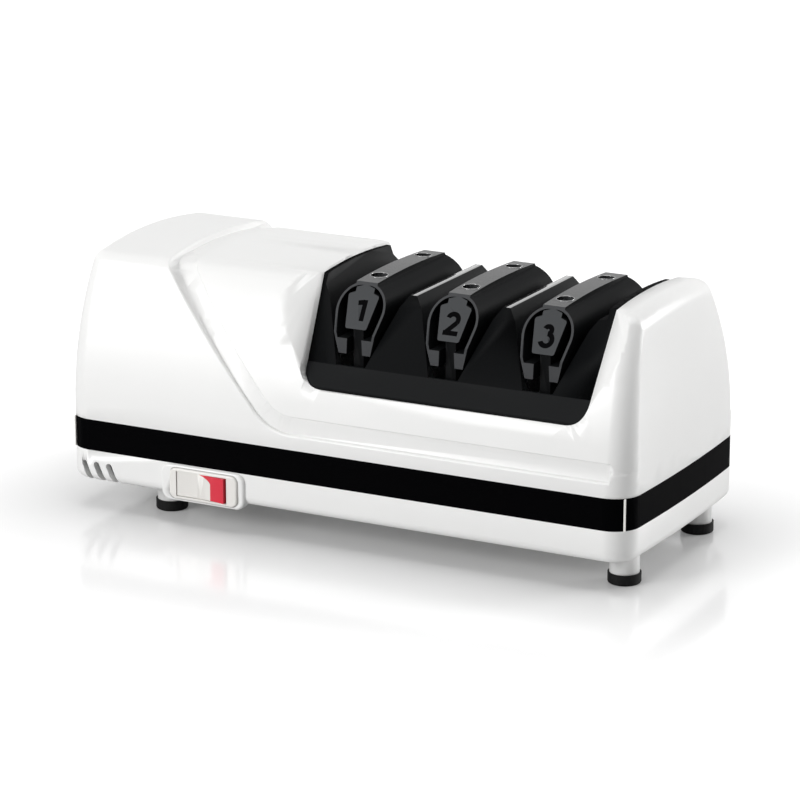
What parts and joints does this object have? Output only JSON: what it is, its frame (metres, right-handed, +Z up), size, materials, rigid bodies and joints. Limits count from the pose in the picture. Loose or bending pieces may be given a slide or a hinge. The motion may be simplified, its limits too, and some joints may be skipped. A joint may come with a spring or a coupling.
{
  "type": "electric knife sharpener",
  "caption": "White kitchen appliance with a black band and rocker switch; spring guides over motor-driven disks sharpen a knife drawn through slots in its top.",
  "frame": {"origin": "middle of the footprint, on the surface that the feet stand on", "axes": "+X along the length, with the motor and switch end at -X; -Y is the front with the switch; +Z up"},
  "size_m": [0.254, 0.115, 0.109],
  "materials": {
    "white_abs": "glossy moulded ABS, white",
    "switch_white": "satin moulded plastic, warm white",
    "black_band": "satin black strip",
    "black_moulding": "fine-grained black moulding",
    "grey_moulding": "fine-grained dark grey moulding",
    "number_ink": "black filled numerals",
    "red_marker": "red moulded marker",
    "foot_rubber": "black rubber",
    "spring_steel": "rolled steel",
    "bright_steel": "ground steel",
    "dark_steel": "blackened steel",
    "lamination": "stacked steel sheets, edges dull",
    "copper_winding": "lacquered copper wire",
    "die_cast": "as cast",
    "bronze": "sintered bronze",
    "abrasive": "diamond-coated face on a metal disk",
    "strop": "fine polymer stropping face on a metal disk",
    "magnet": "ferrite",
    "fan_plastic": "moulded nylon",
    "dresser": "sintered dressing stone"
  },
  "bodies": {
    "housing": {"upper_housing": "white_abs", "base_tray": "white_abs", "front_band": "black_band", "wrap_band": "black_band", "guide_housing": "black_moulding", "guide_magnets": "magnet", "stage_numbers": "number_ink", "guide_screws": "dark_steel", "leg_screws": "bright_steel", "switch_bezel": "switch_white", "switch_body": "black_moulding", "switch_terminals": "bronze", "motor_stator": "lamination", "motor_coil": "copper_winding", "motor_screws": "bright_steel", "motor_spacers": "bright_steel", "lever_pin": "bright_steel", "cord_gland": "foot_rubber", "case_screws": "bright_steel", "guide_plate_1_left": "bright_steel", "guide_plate_1_right": "bright_steel", "guide_plate_2_left": "bright_steel", "guide_plate_2_right": "bright_steel", "guide_plate_3_left": "bright_steel", "guide_plate_3_right": "bright_steel", "guide_spring_1": "grey_moulding", "guide_spring_2": "grey_moulding", "guide_spring_3": "grey_moulding", "guide_bar_1": "grey_moulding", "guide_bar_2": "grey_moulding", "guide_bar_3": "grey_moulding", "foot_front_left": "foot_rubber", "foot_back_left": "foot_rubber", "foot_front_right": "foot_rubber", "foot_back_right": "foot_rubber", "shaft_bracket_left": "die_cast", "shaft_bracket_right": "die_cast", "shaft_bracket_end": "die_cast", "shaft_bush_left": "bronze", "shaft_bush_right": "bronze", "shaft_bush_end": "bronze"},
    "rocker": {"rocker": "switch_white", "rocker_marker": "red_marker"},
    "shaft": {"motor_shaft": "bright_steel", "drive_pins": "bright_steel", "motor_rotor": "lamination", "cooling_fan": "fan_plastic", "disk_spring_1": "spring_steel", "disk_spring_2": "spring_steel", "disk_spring_3": "spring_steel"},
    "lever": {"dressing_lever": "grey_moulding", "dressing_pads": "dresser"},
    "cover": {"cleanout_cover": "white_abs", "swarf_magnet": "magnet"},
    "coarse_disk_left": {"coarse_disk_left": "abrasive"},
    "coarse_disk_right": {"coarse_disk_right": "abrasive"},
    "fine_disk_left": {"fine_disk_left": "abrasive"},
    "fine_disk_right": {"fine_disk_right": "abrasive"},
    "stropping_disk_left": {"stropping_disk_left": "strop"},
    "stropping_disk_right": {"stropping_disk_right": "strop"}
  },
  "joints": [
    {"name": "rocker_tilt", "type": "hinge", "parent": "housing", "child": "rocker", "pos_m": [-0.0607, -0.0532, 0.018], "axis": [0, 0, 1], "range_deg": [0, 8]},
    {"name": "shaft_spin", "type": "hinge", "parent": "housing", "child": "shaft", "pos_m": [0, 0, 0.05], "axis": [1, 0, 0], "continuous": true},
    {"name": "coarse_disk_left_press", "type": "slide", "parent": "shaft", "child": "coarse_disk_left", "axis": [1, 0, 0], "range_m": [0, 0.0012], "stiffness_N_per_m": 400, "springref_m": -0.002, "deforming": ["disk_spring_1"]},
    {"name": "coarse_disk_right_press", "type": "slide", "parent": "shaft", "child": "coarse_disk_right", "axis": [-1, 0, 0], "range_m": [0, 0.0012], "stiffness_N_per_m": 400, "springref_m": -0.002},
    {"name": "fine_disk_left_press", "type": "slide", "parent": "shaft", "child": "fine_disk_left", "axis": [1, 0, 0], "range_m": [0, 0.0012], "stiffness_N_per_m": 400, "springref_m": -0.002, "deforming": ["disk_spring_2"]},
    {"name": "fine_disk_right_press", "type": "slide", "parent": "shaft", "child": "fine_disk_right", "axis": [-1, 0, 0], "range_m": [0, 0.0012], "stiffness_N_per_m": 400, "springref_m": -0.002},
    {"name": "stropping_disk_left_press", "type": "slide", "parent": "shaft", "child": "stropping_disk_left", "axis": [1, 0, 0], "range_m": [0, 0.0012], "stiffness_N_per_m": 400, "springref_m": -0.002, "deforming": ["disk_spring_3"]},
    {"name": "stropping_disk_right_press", "type": "slide", "parent": "shaft", "child": "stropping_disk_right", "axis": [-1, 0, 0], "range_m": [0, 0.0012], "stiffness_N_per_m": 400, "springref_m": -0.002},
    {"name": "lever_swing", "type": "hinge", "parent": "housing", "child": "lever", "pos_m": [0.08205, 0.038, 0.0575], "axis": [0, 0, 1], "range_deg": [-5, 5]},
    {"name": "cover_pull", "type": "slide", "parent": "housing", "child": "cover", "axis": [0, 0, -1], "range_m": [0, 0.008]}
  ]
}
